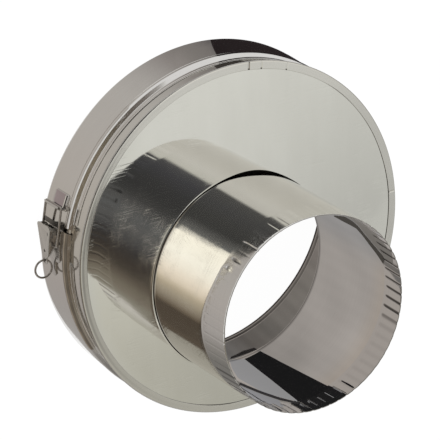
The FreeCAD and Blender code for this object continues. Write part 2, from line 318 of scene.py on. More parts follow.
    # roughness
    r0 = node(nt, "ShaderNodeMapRange", inputs={"From Min": 0.3, "From Max": 0.7, "To Min": rough[0], "To Max": rough[1]})
    L(lines.outputs["Fac"], r0.inputs["Value"])
    r1 = node(nt, "ShaderNodeMath", operation="MULTIPLY_ADD")
    r1.inputs[1].default_value = scratch * 0.35
    L(scratch_out, r1.inputs[0])
    L(r0.outputs["Result"], r1.inputs[2])
    r2 = node(nt, "ShaderNodeMath", operation="MULTIPLY_ADD")
    r2.inputs[1].default_value = spots * 0.22
    L(smear, r2.inputs[0])
    L(r1.outputs[0], r2.inputs[2])
    r3 = node(nt, "ShaderNodeMath", operation="MULTIPLY_ADD", use_clamp=True)
    r3.inputs[1].default_value = edge * 0.25
    L(at.outputs["Fac"], r3.inputs[0])
    L(r2.outputs[0], r3.inputs[2])
    L(r3.outputs[0], bsdf.inputs["Roughness"])
    # bump: rolling lines and scratches
    b1 = node(nt, "ShaderNodeBump", inputs={"Strength": bump, "Distance": 0.0002})
    L(lines.outputs["Fac"], b1.inputs["Height"])
    b2 = node(nt, "ShaderNodeBump", invert=True, inputs={"Strength": scratch * 0.25, "Distance": 0.0001})
    L(scratch_out, b2.inputs["Height"])
    L(b1.outputs["Normal"], b2.inputs["Normal"])
    last = b2
    if wave > 0:
        wv = node(nt, "ShaderNodeTexNoise", inputs={"Scale": wave_scale, "Detail": 1.0})
        L(tc.outputs["Object"], wv.inputs["Vector"])
        b3 = node(nt, "ShaderNodeBump", inputs={"Strength": 1.0, "Distance": wave})
        L(wv.outputs["Fac"], b3.inputs["Height"])
        L(last.outputs["Normal"], b3.inputs["Normal"])
        last = b3
    L(last.outputs["Normal"], bsdf.inputs["Normal"])
    L(bsdf.outputs["BSDF"], out.inputs["Surface"])
    return mat


def wool():
    mat, nt, out = new_mat("mineral_wool")
    L = nt.links.new
    tc = node(nt, "ShaderNodeTexCoord")
    bsdf = node(nt, "ShaderNodeBsdfPrincipled")
    mp = node(nt, "ShaderNodeMapping")
    mp.inputs["Scale"].default_value = (400.0, 400.0, 1600.0)
    L(tc.outputs["Object"], mp.inputs["Vector"])
    n1 = node(nt, "ShaderNodeTexNoise", inputs={"Scale": 1.0, "Detail": 6.0, "Roughness": 0.7, "Distortion": 1.5})
    L(mp.outputs["Vector"], n1.inputs["Vector"])
    # painted shade: the wool is coloured near black, darker than mineral wool, so that the deep gap round the pipe
    # looks shadowed
    c = ramp(nt, n1.outputs["Fac"], [(0.3, (0.020, 0.016, 0.011)), (0.55, (0.045, 0.037, 0.026)), (0.75, (0.08, 0.068, 0.05))])
    L(c, bsdf.inputs["Base Color"])
    bsdf.inputs["Roughness"].default_value = 0.95
    b = node(nt, "ShaderNodeBump", inputs={"Strength": 0.9, "Distance": 0.0008})
    L(n1.outputs["Fac"], b.inputs["Height"])
    L(b.outputs["Normal"], bsdf.inputs["Normal"])
    L(bsdf.outputs["BSDF"], out.inputs["Surface"])
    return mat


def set_mat(ob, mat):
    ob.data.materials.clear()
    ob.data.materials.append(mat)


M_plate = steel("plate_sheet", light=(0.665, 0.662, 0.632), dark=(0.605, 0.60, 0.565), rough=(0.022, 0.045), along="v",
                line=46.0, bump=0.0012, scratch=0.22, spots=0.03)
M_spigot = steel("spigot_sheet", light=(0.655, 0.645, 0.62), dark=(0.62, 0.61, 0.59), rough=(0.05, 0.08), along="u",
                 line=700.0, bump=0.006, scratch=0.12, spots=0.15)
M_casing = steel("casing_sheet", light=(0.65, 0.64, 0.61), dark=(0.60, 0.59, 0.56), rough=(0.06, 0.12), along="u",
                 line=900.0, bump=0.02, scratch=0.25, spots=0.2)
M_band = steel("band_sheet", light=(0.65, 0.64, 0.62), dark=(0.60, 0.585, 0.565), rough=(0.06, 0.12), along="u",
               line=1000.0, bump=0.02, scratch=0.3, spots=0.3)
M_liner = steel("liner_sheet", light=(0.58, 0.565, 0.54), dark=(0.51, 0.495, 0.47), rough=(0.07, 0.14), along="u",
                line=800.0, bump=0.02, scratch=0.3, spots=0.3)
# painted shade: the latch's pressings, and its wire most of all, are coloured darker than the sheet, for the dark edges
# and outlines round the latch
M_latch = steel("latch_pressing", light=(0.57, 0.56, 0.55), dark=(0.48, 0.47, 0.455), rough=(0.10, 0.20), along="v",
                line=700.0, bump=0.04, scratch=0.4, spots=0.4, coord="Object")
M_wire = steel("latch_wire", light=(0.42, 0.40, 0.38), dark=(0.27, 0.255, 0.24), rough=(0.12, 0.22), along="v",
               line=900.0, bump=0.05, scratch=0.4, spots=0.3, coord="Object")
M_cut = steel("sheared_edge", light=(0.34, 0.33, 0.31), dark=(0.24, 0.23, 0.22), rough=(0.30, 0.42), along="v",
              line=1500.0, bump=0.06, scratch=0.2, spots=0.2)
M_strap = steel("strap_sheet", light=(0.16, 0.15, 0.14), dark=(0.10, 0.095, 0.09), rough=(0.30, 0.45), along="u",
                line=900.0, bump=0.04, scratch=0.4, spots=0.4, coord="Object")
M_wool = wool()

# =========================================================================================================
# outer casing with its folded hem
# =========================================================================================================
HEM_MARKS = ((84.8, 0.30), (80.1, 0.10), (70.4, 0.08), (2.6, 0.16))      # short folds where the hem's tabs overlap, and their depths


def casing_shift(d, r, z):
    if z > 48.0 and r > 124.0:
        # the folded hem is never quite even: its inner edge wanders and its roll rises and falls a little
        w = math.sin(math.radians(3 * d + 20)) + 0.6 * math.sin(math.radians(7 * d + 100)) + 0.4 * math.sin(math.radians(17 * d))
        if z > 50.95 and r < 126.2:
            r += 0.16 * w
        if z > 51.2:
            z += 0.012 * (w - 2.0)
        for m, deep in HEM_MARKS:
            off = abs((d - m + 180) % 360 - 180) * math.pi / 180 * 130.0
            if off < 0.9 and z > 51.0:
                z -= deep * (1 - smooth(off / 0.9))
    return r, z


casing_pts = [(127.6, 7.5), (128.2, 7.5), (128.2, 24.2), (129.4, 25.4), (129.4, 28.1), (128.2, 29.3),
              (128.2, 49.5), (131.0, 49.5), (131.75, 49.8), (132.0, 50.5), (131.75, 51.2), (131.0, 51.5),
              (125.8, 51.5), (125.8, 50.9), (131.3, 50.9), (131.3, 50.1), (127.6, 50.1), (127.6, 29.1),
              (128.8, 27.9), (128.8, 25.6), (127.6, 24.4)]
casing_rad = [0.1, 0.1, 0.5, 0.5, 0.5, 0.5, 0.45, 0.5, 0.5, 0.5, 0.5, 0.5, 0.2, 0, 0, 0, 0, 0.3, 0.3, 0.3, 0.3]
casing_line = fillet(casing_pts, casing_rad, seg=3)
extra_face = []
casing_line2 = []
for p, q in zip(casing_line, casing_line[1:] + casing_line[:1]):
    casing_line2.append(p)
    if abs(p[1] - 51.5) < 0.02 and abs(q[1] - 51.5) < 0.02 and abs(p[0] - q[0]) > 2:
        for t in (0.02, 0.2, 0.4, 0.6, 0.8, 0.98):
            casing_line2.append((p[0] + (q[0] - p[0]) * t, p[1]))
    if abs(p[0] - 128.2) < 0.01 and abs(q[0] - 128.2) < 0.01 and abs(p[1] - q[1]) > 6:
        for t in (0.25, 0.5, 0.75):
            casing_line2.append((p[0], p[1] + (q[1] - p[1]) * t))
def painted_shade_by(ob, fn):
    """Writes the painted-shade attribute from each vertex's radius, height (mm) and direction (degrees)."""
    vals = []
    for v in ob.data.vertices:
        x, y, z = (c / MM for c in v.co)
        vals.append(fn(math.hypot(x, y), z, math.degrees(math.atan2(y, x)) % 360))
    at = ob.data.attributes.get("painted_shade") or ob.data.attributes.new("painted_shade", "FLOAT", "POINT")
    at.data.foreach_set("value", np.asarray(vals, dtype=np.float32))


casing = revolve("outer_casing_sheet", casing_line2, ring_angles(720, [(m, 1.2, 0.08) for m, deep in HEM_MARKS]),
                 shift=casing_shift, wear_z=lambda r, z: max(0.0, 1 - abs(r - 132.0) / 0.5) * 0.8)
def hem_painted_shade(r, z, d):
    """Painted shade on the folded hem: darker than the plate, most of all by the latch, with a painted shadow line
    along its inner edge.
    """
    if z < 49.7 or r < 125.0:
        return 0.0
    if r < 126.3 and z < 51.44:
        return 1.0
    near = math.exp(-(((d - 180.0 + 180) % 360 - 180) / 42.0) ** 2)
    if z > 51.3:
        band = 0.55 if 128.3 < r < 130.4 else (0.30 if r < 128.3 else 0.15)
        return 0.04 + 0.06 * smooth((abs((d - 90.0 + 180) % 360 - 180) - 40.0) / 20.0) + 0.85 * near * band
    return 0.45 if r > 131.5 else 0.1


painted_shade_by(casing, hem_painted_shade)
set_mat(casing, M_casing)
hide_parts("outer_casing")
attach(casing, "root")

# =========================================================================================================
# face plate: a flat disc with an eccentric hole, pulled very slightly out of true by the hem and the spigot
# =========================================================================================================
N_PL = 720
RINGS = 40
DISH = 0.014
pl_verts, pl_wear = [], []


def bell(d, centre, width):
    e = ((d - centre + 180) % 360 - 180) / width
    return math.exp(-e * e)


def hole_radius(d):
    """The hole's edge, measured from the pipe's axis: a thin gap all round, wider on the far side."""
    return 74.36 + 1.85 * bell(d, 79.0, 18.0)


def lip_rise(d):
    """The punch turned the edge up on one side."""
    e = abs((d - 166.0 + 180) % 360 - 180)
    return 0.20 * (1 - smooth((e - 44.0) / 26.0))


def plate_point(k, t, z, warp=True):
    d = 360.0 * k / N_PL
    a = math.radians(d)
    ox, oy = 131.25 * math.cos(a), 131.25 * math.sin(a)
    # the matching point of the hole lies in the same direction from the pipe's axis
    rh = hole_radius(d)
    hx, hy = rh * math.cos(a), -25.5 + rh * math.sin(a)
    x, y = hx + (ox - hx) * t, hy + (oy - hy) * t
    run = math.hypot(ox - hx, oy - hy)
    dz = DISH * run * (1 - t)
    # the folding of the hem turned the margin up on one side
    rim = run * (1 - t)
    if rim < 15.0:
        dz += 0.30 * bell(d, 176.0, 46.0) * ((15.0 - max(rim, 4.6)) / 15.0) ** 2
    off = run * t
    if off < 0.9:
        dz += lip_rise(d) * (1 - smooth(off / 0.9))
    if warp:
        env = math.sin(math.pi * t) ** 0.8 if 0 < t < 1 else 0.0
        dz += env * (0.020 * math.sin(0.040 * x + 0.9) * math.sin(0.052 * y + 0.3)
                     + 0.008 * math.sin(0.09 * x - 0.05 * y + 1.3))
    return x, y, z + dz


pl_faces, pl_uv = [], []
LIP_T = [0.0, 0.0015, 0.003, 0.005, 0.008, 0.012, 0.017, 0.024, 0.05]
levels = [("top", LIP_T + [0.05 + 0.95 * i / RINGS for i in range(1, RINGS + 1)], 50.9),
          ("bot", [1.0, 0.5, 0.05, 0.018, 0.009, 0.0], 50.1)]
cols = []
for k in range(N_PL):
    col = []
    for name, ts, z in levels:
        for t in ts:
            x, y, zz = plate_point(k, t, z, name == "top")
            col.append(len(pl_verts))
            pl_verts.append((x, y, zz))
            pl_wear.append(0.0)
    cols.append(col)
m = len(cols[0])
for k in range(N_PL):
    a, b = cols[k], cols[(k + 1) % N_PL]
    for i in range(m):
        j = (i + 1) % m
        f = (a[i], a[j], b[j], b[i])
        pl_faces.append(f)
        pl_uv.append(tuple((pl_verts[v][0] * MM, pl_verts[v][1] * MM) for v in f))
plate = finish_mesh("face_plate_sheet", pl_verts, pl_faces, pl_uv, pl_wear)
fix_normals(plate)
set_mat(plate, M_plate)
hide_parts("face_plate")
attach(plate, "root")

# =========================================================================================================
# spigot pipe with its crimped end
# =========================================================================================================
SP_Y = -25.5
N_SP = 1200
CRIMPS = 64


def crimp_start(d):
    """Height at which the crimped end begins. It reaches a little further down on one side."""
    e = abs((d - 185.0 + 180) % 360 - 180)
    return 125.4 - 7.0 * (1 - smooth((e - 4.0) / 34.0)) if e < 38 else 125.4


def hash01(k, salt):
    x = math.sin(k * 12.9898 + salt * 78.233) * 43758.5453
    return x - math.floor(x)


def furrow(d, z, z0):
    """Depth of the crimp at this place. The tool bit deeply on one side and hardly marked the other."""
    ph = d * CRIMPS / 360.0
    k = math.floor(ph) % CRIMPS
    ph -= math.floor(ph)
    zs = z0 + 0.6 + 1.6 * (hash01(k, 1.0) - 0.5)
    soft = 1 - smooth((abs((d - 318.0 + 180) % 360 - 180) - 20.0) / 5.0)
    low = 1 - smooth((abs((d - 232.0 + 180) % 360 - 180) - 26.0) / 6.0)
    w = 0.36 + 0.08 * (hash01(k, 2.0) - 0.5) + 0.40 * soft + 0.26 * low
    x = abs(ph - 0.5) / (w / 2)
    if x >= 1:
        return 0.0
    # the furrow's start is oval
    t = smooth((z - zs - 1.2 * x * x) / (8.0 if 56.0 < d < 142.0 else 3.2))
    side = abs((d - 176.0 + 180) % 360 - 180)
    deep = 0.11 + 0.20 * smooth((side - 34.0) / 16.0)
    if 56.0 < d < 142.0:
        # here most of them are faint
        deep *= (0.28, 0.95, 0.22, 0.34, 0.18, 0.62, 0.26)[k % 7]
    deep *= 1 - 0.55 * soft
    return deep * (1 + 0.3 * (hash01(k, 3.0) - 0.5)) * t * (0.5 + 0.5 * math.cos(math.pi * x))


# two dents that the crimping tool left, darkened inside with painted shade: direction, height, half width and half
# length in mm
DENTS = ((137.3, 134.0, 1.5, 5.6), (143.0, 131.5, 2.0, 2.9))


def dent(d, z):
    best = 0.0
    for a, h, w, l in DENTS:
        x = ((d - a + 180) % 360 - 180) * math.pi / 180 * 73.8 / w
        y = (z - h) / l
        best = max(best, 1 - smooth((math.hypot(x, y) - 0.55) / 0.45))
    return best


# painted shade on the pipe: a dark band along the bottom edge of the bore, and darkened furrows, most on two sides, and
# dents
def painted_shade_at(d, z, inner):
    z0 = crimp_start(d)
    if inner and z < 39.5:
        return 0.75
    if z < z0:
        return 0.0
    if not inner:
        e = abs((d - 228.0 + 180) % 360 - 180)
        f = furrow(d, z, z0 - 1.0)
        return max(0.6 * dent(d, z), min(1.0, f / 0.12) * (0.55 + 0.4 * hash01(math.floor(d * CRIMPS / 360.0), 5.0)) * (1 - smooth((e - 22.0) / 12.0)))
    e = abs((d - 10.0 + 180) % 360 - 180)
    f = furrow(d, z, z0 - 1.0)
    return min(1.0, f / 0.16) * (0.86 * (1 - smooth((e - 22.0) / 16.0)) + 0.10)


def spigot_r(d, z, inner):
    # the pipe leaves the plate's hole a hair smaller than its own size
    r = 74.0 - (0.0 if inner else 0.17 * (1 - smooth((z - 48.0) / 9.0)))
    # the rolled sheet is not perfectly round
    g = smooth((z - 40) / 30)
    r += (0.05 * math.sin(math.radians(2 * d + 30)) + 0.03 * math.sin(math.radians(3 * d + 80))) * g
    z0 = crimp_start(d)
    if z > z0 - 1.0:
        # a shallow shoulder, then a gentle taper to the rim
        if not inner:
            faint = 1 - smooth((abs((d - 95.0 + 180) % 360 - 180) - 42.0) / 8.0)
            r -= 0.12 * smooth((z - z0 + 1.0) / (1.6 + 14.0 * faint))
            r -= 0.62 * max(0.0, (z - z0) / (147.0 - z0))
        else:
            r -= 0.74 * smooth((z - z0 + 1.0) / (149.0 - z0)) ** 0.8
        r -= furrow(d, z, z0)
        if not inner:
            r -= 0.16 * dent(d, z)
    return r - (0.6 if inner else 0.0)


z_rows = [38.0, 41.0, 44.0, 47.0, 50.0, 53.0, 56.0, 60.0, 72.0, 85.0, 98.0, 108.0, 114.0,
          116.6, 117.4, 118.2, 118.9, 119.6, 120.4, 121.2, 122.0, 122.8, 123.6, 124.4, 125.0, 125.6, 126.2, 126.8, 127.4,
          128.0, 128.8, 129.6, 131.0, 134.0, 138.0, 142.0, 145.0, 146.6]
sp_cols = []
sp_verts, sp_wear, sp_painted_shade = [], [], []
for i in range(N_SP):
    d = 360.0 * i / N_SP
    ca, sa = math.cos(math.radians(d)), math.sin(math.radians(d))
    col = []
    lip = 147.0 + 0.08 * math.sin(math.radians(5 * d))
    rows = [(spigot_r(d, z, False), z) for z in z_rows]
    rt = spigot_r(d, 147.0, False)
    rows += [(rt - 0.03, lip - 0.1), (rt - 0.12, lip - 0.02), (rt - 0.3, lip), (rt - 0.48, lip - 0.02), (rt - 0.57, lip - 0.1)]
    rows += [(spigot_r(d, z, True), z) for z in reversed(z_rows)]
    for n_row, (r, z) in enumerate(rows):
        sp_painted_shade.append(painted_shade_at(d, z, n_row > len(z_rows) + 4))
        col.append(len(sp_verts))
        sp_verts.append((r * ca, SP_Y + r * sa, z))
        # rubbed ridges on the faintly marked side
        rub = 0.0
        if n_row < len(z_rows) and 74.0 < d < 140.0 and z > crimp_start(d):
            q = d * CRIMPS / 360.0
            rub = (0.5 + 0.5 * math.cos(2 * math.pi * q)) ** 2 * max(0.0, hash01(math.floor(q + 0.5), 11.0) - 0.35) * smooth((z - crimp_start(d)) / 4.0)
        sp_wear.append(rub)
    sp_cols.append(col)
sp_faces, sp_uv, sp_mat = [], [], []
m = len(sp_cols[0])
rim0 = len(z_rows) - 1
vv = []
s = 0.0
for k in range(m):
    vv.append(s)
    if k + 1 < m:
        p, q = sp_verts[sp_cols[0][k]], sp_verts[sp_cols[0][k + 1]]
        s += math.dist(p, q)
for i in range(N_SP):
    j = (i + 1) % N_SP
    u0, u1 = 2 * math.pi * 74.0 * i / N_SP * MM, 2 * math.pi * 74.0 * (i + 1) / N_SP * MM
    for k in range(m):
        l = (k + 1) % m
        sp_faces.append((sp_cols[i][k], sp_cols[j][k], sp_cols[j][l], sp_cols[i][l]))
        sp_mat.append(1 if rim0 < k < rim0 + 5 else 0)
        v0 = vv[k] * MM
        v1 = (vv[l] if l else s + 0.6) * MM
        sp_uv.append(((u0, v0), (u1, v0), (u1, v1), (u0, v1)))
spigot = finish_mesh("spigot_pipe_sheet", sp_verts, sp_faces, sp_uv, sp_wear, sharp=60.0)
painted_shade = spigot.data.attributes.new("painted_shade", "FLOAT", "POINT")
painted_shade.data.foreach_set("value", np.asarray(sp_painted_shade, dtype=np.float32))
fix_normals(spigot)
set_mat(spigot, M_spigot)
spigot.data.materials.append(M_cut)
spigot.data.polygons.foreach_set("material_index", sp_mat)
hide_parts("spigot_pipe")
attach(spigot, "root")

# =========================================================================================================
# inner liner
# =========================================================================================================
bead = [(100.6 + 1.3 * math.sin(math.pi * t) ** 2, 3.0 + 3.0 * t) for t in [i / 12 for i in range(13)]]
bead_in = [(100.0 + 1.3 * math.sin(math.pi * t) ** 2, 3.0 + 3.0 * t) for t in [i / 12 for i in range(12, -1, -1)]]
liner_line = [(100.0, 0.1), (100.1, 0.0), (100.5, 0.0), (100.6, 0.1), (100.6, 1.5)] + bead + \
             [(100.6, 7.5), (100.6, 20.0), (100.6, 37.0), (100.6, 37.5), (100.0, 37.5), (100.0, 37.0), (100.0, 20.0), (100.0, 7.5)] \
             + bead_in + [(100.0, 2.4), (100.0, 1.7), (100.0, 1.1)]
liner = revolve("inner_liner_sheet", liner_line, ring_angles(640), wear_z=lambda r, z: 0.8 if z < 0.15 else 0.0)
# painted shade in the bead's inner groove, and a painted dark line along the sheet's end
painted_shade_by(liner, lambda r, z, d: 0.0 if r < 99.9 else min(1.0, (1.0 * max(0.0, 1 - abs(z - 3.9) / 1.5) + 0.7 * max(0.0, 1 - abs(z - 6.6) / 1.0))
                                                        * (0.75 + 0.25 * math.sin(math.radians(3 * d + 40)))
                                                        + (0.95 if z < 1.8 else 0.25 if z < 2.5 else 0.0)))
set_mat(liner, M_liner)
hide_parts("inner_liner")
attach(liner, "root")

# =========================================================================================================
# locking band
# =========================================================================================================
SPLIT, SPLIT_W = 167.3, 3.6
half_split = math.degrees(SPLIT_W / 2 / 130.6)
b0, b1 = SPLIT + half_split, SPLIT + 360 - half_split
bead_out = [(123.6 + 7.6 * math.cos(math.radians(a)), 25.7 + 7.6 * math.sin(math.radians(a))) for a in (-3, 0, 4, 8, 12, 16, 20, 24, 26)]
bead_inn = [(123.6 + 7.0 * math.cos(math.radians(a)), 25.7 + 7.0 * math.sin(math.radians(a))) for a in (26, 20, 14, 8, 2, -3)]
band_pts = [(130.0, -6.5), (130.6, -6.5), (130.6, 23.5), (130.2, 24.1), (130.95, 24.8)] + bead_out + [(128.9, 32.15),
            (128.9, 34.5), (128.72, 34.7), (128.72, 36.4), (128.3, 36.4), (128.3, 31.95)] + bead_inn + [(130.3, 24.95),
            (129.6, 24.2), (130.0, 23.4)]
band_rad = [0.12, 0.12, 0.4, 0.3, 0.4] + [0.0] * len(bead_out) + [0.8, 0.1, 0.1, 0.15, 0.15, 0.8] + [0.0] * len(bead_inn) + [0.3, 0.3, 0.4]
band_line = fillet(band_pts, band_rad, seg=4)
bl2 = []
for p, q in zip(band_line, band_line[1:] + band_line[:1]):
    bl2.append(p)
    dist = math.hypot(p[0] - q[0], p[1] - q[1])
    if dist > 6:
        for t in (0.15, 0.3, 0.45, 0.6, 0.75, 0.9):
            bl2.append((p[0] + (q[0] - p[0]) * t, p[1] + (q[1] - p[1]) * t))
band_line = bl2


def lip_top(d):
    """Height of the front lip: cut away round the split, with a pointed corner left at its lower side."""
    d = d % 360
    if d < 164.2 or d > 178.4:
        return 36.4
    if d < 164.8:
        return 36.4 - 4.7 * smooth((d - 164.2) / 0.6)
    if d > 177.2:
        return 31.7 + 4.7 * (d - 177.2) / 1.2
    return 31.7


def band_shift(d, r, z):
    top = lip_top(d)
    if z > top:
        z = top - 0.002 * (36.4 - z)
    # the skirt is not perfectly round, and its rear rim sits a little to one side
    if z < 22:
        a = math.radians(d)
        k = smooth((22 - z) / 26)
        off = abs((d - 170.0 + 180) % 360 - 180)
        near = smooth((off - 14.0) / 30.0)
        r += (1.0 * math.cos(a) + 0.9 * math.sin(a)) * k * near
        r += 0.05 * math.sin(math.radians(4 * d + 60)) * k
    return r, z


ang = [b0 + (b1 - b0) * i / 820 for i in range(821)]
more = [164.1 + 360 + 0.05 * i for i in range(18)] + [177.1 + 0.06 * i for i in range(24)]
ang = sorted(set(round(a, 4) for a in ang + [a for a in more if b0 < a < b1]))
band = revolve("locking_band_sheet", band_line, ang, shift=band_shift, closed=False, caps=True,
               wear_z=lambda r, z: 0.5 if (z > 36.2 or z < -6.3) else 0.0)
set_mat(band, M_band)
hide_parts("locking_band")
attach(band, "root")

# =========================================================================================================
# CAD nodes that stay, with their materials
# =========================================================================================================
for nm, mt in (("transition_plate", M_liner), ("rear_end_ring", M_liner), ("insulation", M_wool), ("band_strap", M_strap)):
    set_mat(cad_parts[nm], mt)


def rounded_copy(src, name, width, mat, body, seg=2):
    """The pressed part with its sharp arrises rounded off."""
    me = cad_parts[src].data.copy()
    me.name = name
    bm = bmesh.new()
    bm.from_mesh(me)
    bmesh.ops.remove_doubles(bm, verts=bm.verts, dist=1e-7)
    bmesh.ops.dissolve_limit(bm, angle_limit=math.radians(0.6), verts=bm.verts, edges=bm.edges)
    sharp = [e for e in bm.edges if len(e.link_faces) == 2 and e.calc_face_angle(0) > math.radians(32)]
    bmesh.ops.bevel(bm, geom=sharp, offset=width * MM, offset_type="OFFSET", segments=seg, profile=0.5, affect="EDGES",
                    clamp_overlap=True)
    bmesh.ops.recalc_face_normals(bm, faces=bm.faces)
    bm.to_mesh(me)
    bm.free()
    me.polygons.foreach_set("use_smooth", [True] * len(me.polygons))
    me.set_sharp_from_angle(angle=math.radians(40))
    ob = link(bpy.data.objects.new(name, me))
    set_mat(ob, mat)
    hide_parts(src)
    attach(ob, body)
    return ob


lever = rounded_copy("latch_lever", "latch_lever_pressing", 0.28, M_latch, "lever")


def round_end(ob, radius=2.1, steps=5):
    """The two corners of the lever's broad end are rounded in plan, and show the sheet's cut edge."""
    a = math.radians(170.0)
    out, along = Vector((math.cos(a), math.sin(a), 0.0)), Vector((-math.sin(a), math.cos(a), 0.0))
    bm = bmesh.new()
    bm.from_mesh(ob.data)
    for side in (-1, 1):
        cu, cz = -7.0 + radius, side * (9.3 - 1.2568 * radius)
        for k in range(steps):
            t = math.radians(180.0 - side * 102.98 * (k + 0.5) / steps)
            n = along * math.cos(t) + Vector((0.0, 0.0, math.sin(t)))
            co = (out * 137.0 + along * cu + Vector((0.0, 0.0, 12.0 + cz)) + n * radius) * MM
            bmesh.ops.bisect_plane(bm, geom=bm.verts[:] + bm.edges[:] + bm.faces[:], dist=1e-8, plane_co=co, plane_no=n,
                                   clear_outer=True)
            got = bmesh.ops.holes_fill(bm, edges=[e for e in bm.edges if e.is_boundary], sides=0)
            for f in got["faces"]:
                f.material_index = 1
                f.smooth = True
    bmesh.ops.recalc_face_normals(bm, faces=bm.faces)
    bm.to_mesh(ob.data)
    bm.free()
    ob.data.materials.append(M_cut)
    ob.data.set_sharp_from_angle(angle=math.radians(40))


round_end(lever)
rounded_copy("latch_keeper", "latch_keeper_pressing", 0.16, M_latch, "root")
rounded_copy("latch_base", "latch_base_pressing", 0.16, M_latch, "root")
for nm, mt in (("lever_pin", M_latch), ("latch_bail", M_wire), ("pull_ring", M_wire)):
    set_mat(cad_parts[nm], mt)

# =========================================================================================================
# floor, light, and glowing panels that only polished metal sees, which paint its reflections
# =========================================================================================================
def glow(name, color, strength=1.0, attribute=None):
    mat, nt, out = new_mat(name)
    em = node(nt, "ShaderNodeEmission")
    em.inputs["Color"].default_value = (*color, 1)
    em.inputs["Strength"].default_value = strength
    if attribute:
        at = node(nt, "ShaderNodeAttribute", attribute_name=attribute)
        nt.links.new(at.outputs["Color"], em.inputs["Color"])
    nt.links.new(em.outputs["Emission"], out.inputs["Surface"])
    return mat


# the glowing cards below are hidden from the camera and cast no light or shadow: they are painted reflections on the
# metal
def reflection_only(ob):
    ob.visible_camera = False
    ob.visible_diffuse = False
    ob.visible_transmission = False
    ob.visible_volume_scatter = False
    ob.visible_shadow = False
    ob.visible_glossy = True


def lerp_stops(stops, x):
    x = x % 360
    for (a0, c0), (a1, c1) in zip(stops, stops[1:]):
        if a0 <= x <= a1:
            t = (x - a0) / (a1 - a0) if a1 > a0 else 0
            return tuple(c0[i] + (c1[i] - c0[i]) * t for i in range(3))
    return stops[-1][1]


def polar_card(name, stops, profile, step=1.0, az0=0.0, az1=360.0):
    """A curtain or ring of panels: profile is a list of (radius_m, z_m, gain), stops give colour against azimuth."""
    n = int(round((az1 - az0) / step))
    verts, cols, faces = [], [], []
    for i in range(n + 1):
        az = az0 + (az1 - az0) * i / n
        c = lerp_stops(stops, az)
        for (r, z, g) in profile:
            verts.append((r * math.cos(math.radians(az)), r * math.sin(math.radians(az)), z))
            cols.append((c[0] * g, c[1] * g, c[2] * g, 1.0))
    k = len(profile)
    for i in range(n):
        for j in range(k - 1):
            faces.append((i * k + j, (i + 1) * k + j, (i + 1) * k + j + 1, i * k + j + 1))
    me = bpy.data.meshes.new(name)
    me.from_pydata(verts, [], faces)
    at = me.color_attributes.new("lit", "FLOAT_COLOR", "POINT")
    at.data.foreach_set("color", np.asarray(cols, dtype=np.float32).ravel())
    me.update()
    ob = link(bpy.data.objects.new(name, me))
    ob.data.materials.append(glow(name, (1, 1, 1), 1.0, "lit"))
    reflection_only(ob)
    return ob


def flat_card(name, pts, color, strength=1.0):
    """A flat card just above the floor, given by (x, y) in millimetres and its height."""
    me = bpy.data.meshes.new(name)
    me.from_pydata([(x * MM, y * MM, z * MM) for x, y, z in pts], [], [tuple(range(len(pts)))])
    ob = link(bpy.data.objects.new(name, me))
    ob.data.materials.append(glow(name, color, strength))
    reflection_only(ob)
    return ob


# floor
mat, nt, out = new_mat("floor")
L = nt.links.new
em = node(nt, "ShaderNodeEmission")
em.inputs["Color"].default_value = (1, 1, 1, 1)
em.inputs["Strength"].default_value = 0.97
df = node(nt, "ShaderNodeBsdfDiffuse")
df.inputs["Color"].default_value = (0.06, 0.06, 0.06, 1)
ad = node(nt, "ShaderNodeAddShader")
L(em.outputs[0], ad.inputs[0])
L(df.outputs[0], ad.inputs[1])
L(ad.outputs[0], out.inputs["Surface"])
me = bpy.data.meshes.new("floor")
me.from_pydata([(-15, -15, FLOOR_Z * MM), (15, -15, FLOOR_Z * MM), (15, 15, FLOOR_Z * MM), (-15, 15, FLOOR_Z * MM)], [], [(0, 1, 2, 3)])
floor = link(bpy.data.objects.new("floor", me))
floor.data.materials.append(mat)

# world: even white studio
world = bpy.data.worlds.new("studio")
scene.world = world
world.use_nodes = True
bg = world.node_tree.nodes["Background"]
bg.inputs["Color"].default_value = (1.0, 1.0, 1.0, 1)
bg.inputs["Strength"].default_value = 1.0

# dome of glowing panels high above the object: painted reflections that the polished sheet shows, by direction
R = 12.0


def mix3(a, b, t):
    return tuple(a[i] + (b[i] - a[i]) * t for i in range(3))


def sky(name, azs, els, colour):
    """Part of a dome: a grid of azimuths and elevations in degrees, coloured by colour(azimuth, elevation)."""
    verts, cols, faces = [], [], []
    for e in els:
        for a in azs:
            ce = math.cos(math.radians(e))
            verts.append((R * ce * math.cos(math.radians(a)), R * ce * math.sin(math.radians(a)), R * math.sin(math.radians(e))))
            cols.append((*colour(a, e), 1.0))
    n = len(azs)
    for i in range(len(els) - 1):
        for j in range(n - 1):
            faces.append((i * n + j, i * n + j + 1, (i + 1) * n + j + 1, (i + 1) * n + j))
    me = bpy.data.meshes.new(name)
    me.from_pydata(verts, [], faces)
    at = me.color_attributes.new("lit", "FLOAT_COLOR", "POINT")
    at.data.foreach_set("color", np.asarray(cols, dtype=np.float32).ravel())
    me.update()
    ob = link(bpy.data.objects.new(name, me))
    ob.data.materials.append(glow(name, (1, 1, 1), 1.0, "lit"))
    reflection_only(ob)
    return ob


AZ = [0.5 * i for i in range(721)]
PALE = (1.19, 1.175, 1.12)
TONE = (0.80, 0.79, 0.73)


def plate_side(a, e):
    """The painted reflection the face plate itself shows: a soft fall from the upper right."""
    a, e = max(312.0, min(332.0, a)), max(48.0, min(57.0, e))
    g = 0.745 + 0.015 * (a - 320.0) + 0.040 * (e - 52.5)
    t = smooth((a - 312.0) / 12.0)
    return (g, g * (0.975 + 0.025 * t), g * (0.86 + 0.10 * t))


